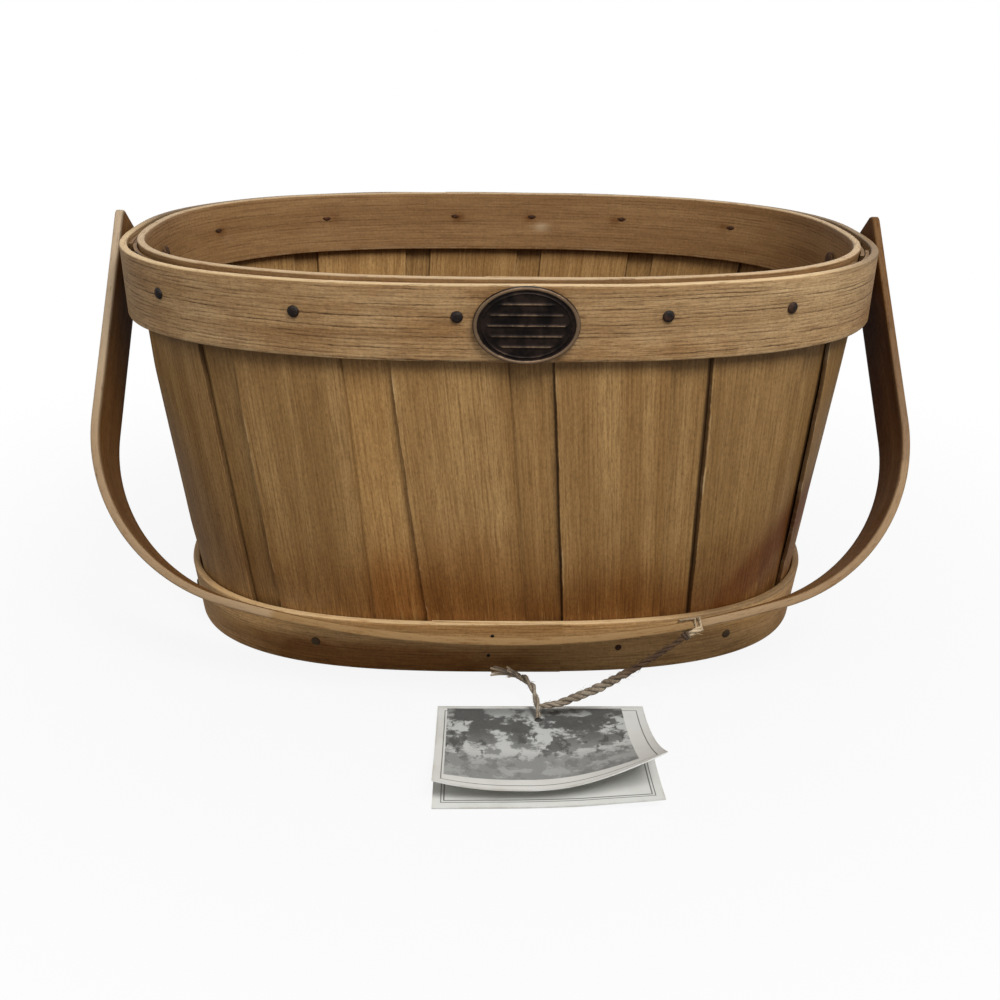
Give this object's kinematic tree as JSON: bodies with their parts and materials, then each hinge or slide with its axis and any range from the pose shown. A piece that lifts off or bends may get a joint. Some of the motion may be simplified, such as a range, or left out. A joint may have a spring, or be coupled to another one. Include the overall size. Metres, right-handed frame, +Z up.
{
  "type": "oval stave storage basket with swing handle",
  "caption": "Oval tapered wooden basket of lapped upright staves nailed between bent hoops, with a bentwood handle that swings on rivets, an oval rim plate and a folded tag on twine.",
  "frame": {"origin": "on the floor under the middle of the basket, at the centre of the base board's underside", "axes": "+X to the right along the basket's length, +Z up, and the front with the plate and the lowered handle faces -Y"},
  "size_m": [0.378, 0.3268, 0.1937],
  "materials": {
    "stave_wood": "satin",
    "hoop_wood": "satin",
    "handle_wood": "satin",
    "board_wood": "matte",
    "tack_steel": "darkened",
    "rivet_steel": "darkened",
    "plate_brass": "antique dark",
    "twine": "rough",
    "tag_card": "matte"
  },
  "bodies": {
    "basket": {"base_board": "board_wood", "outer_stave_01": "stave_wood", "outer_stave_02": "stave_wood", "outer_stave_03": "stave_wood", "outer_stave_04": "stave_wood", "outer_stave_05": "stave_wood", "outer_stave_06": "stave_wood", "outer_stave_07": "stave_wood", "outer_stave_08": "stave_wood", "outer_stave_09": "stave_wood", "outer_stave_10": "stave_wood", "outer_stave_11": "stave_wood", "outer_stave_12": "stave_wood", "outer_stave_13": "stave_wood", "outer_stave_14": "stave_wood", "inner_stave_01": "stave_wood", "inner_stave_02": "stave_wood", "inner_stave_03": "stave_wood", "inner_stave_04": "stave_wood", "inner_stave_05": "stave_wood", "inner_stave_06": "stave_wood", "inner_stave_07": "stave_wood", "inner_stave_08": "stave_wood", "inner_stave_09": "stave_wood", "inner_stave_10": "stave_wood", "inner_stave_11": "stave_wood", "inner_stave_12": "stave_wood", "inner_stave_13": "stave_wood", "inner_stave_14": "stave_wood", "outer_rim_hoop": "hoop_wood", "inner_rim_hoop": "hoop_wood", "base_hoop": "hoop_wood", "rim_tack_01": "tack_steel", "rim_tack_02": "tack_steel", "rim_tack_03": "tack_steel", "rim_tack_04": "tack_steel", "rim_tack_05": "tack_steel", "rim_tack_06": "tack_steel", "rim_tack_07": "tack_steel", "rim_tack_08": "tack_steel", "rim_tack_09": "tack_steel", "rim_tack_10": "tack_steel", "rim_tack_11": "tack_steel", "left_pivot_rivet": "rivet_steel", "right_pivot_rivet": "rivet_steel", "left_pivot_spacer": "hoop_wood", "right_pivot_spacer": "hoop_wood", "rim_plate": "plate_brass"},
    "handle": {"handle": "handle_wood", "twine_loop": "twine"},
    "tag": {"twine_strand": "twine", "twine_tail": "twine", "hang_tag": "tag_card"}
  },
  "joints": [
    {"name": "handle_swing", "type": "hinge", "parent": "basket", "child": "handle", "pos_m": [0, 0, 0.172], "axis": [-1, 0, 0], "range_deg": [0, 279]},
    {"name": "tag_swing", "type": "hinge", "parent": "handle", "child": "tag", "pos_m": [0.0855, -0.1204, 0.0331], "axis": [-1, 0, 0], "range_deg": [-424, 0]}
  ],
  "couplings": [
    {"joint": "tag_swing", "follows": "handle_swing", "ratio": -1.519}
  ]
}
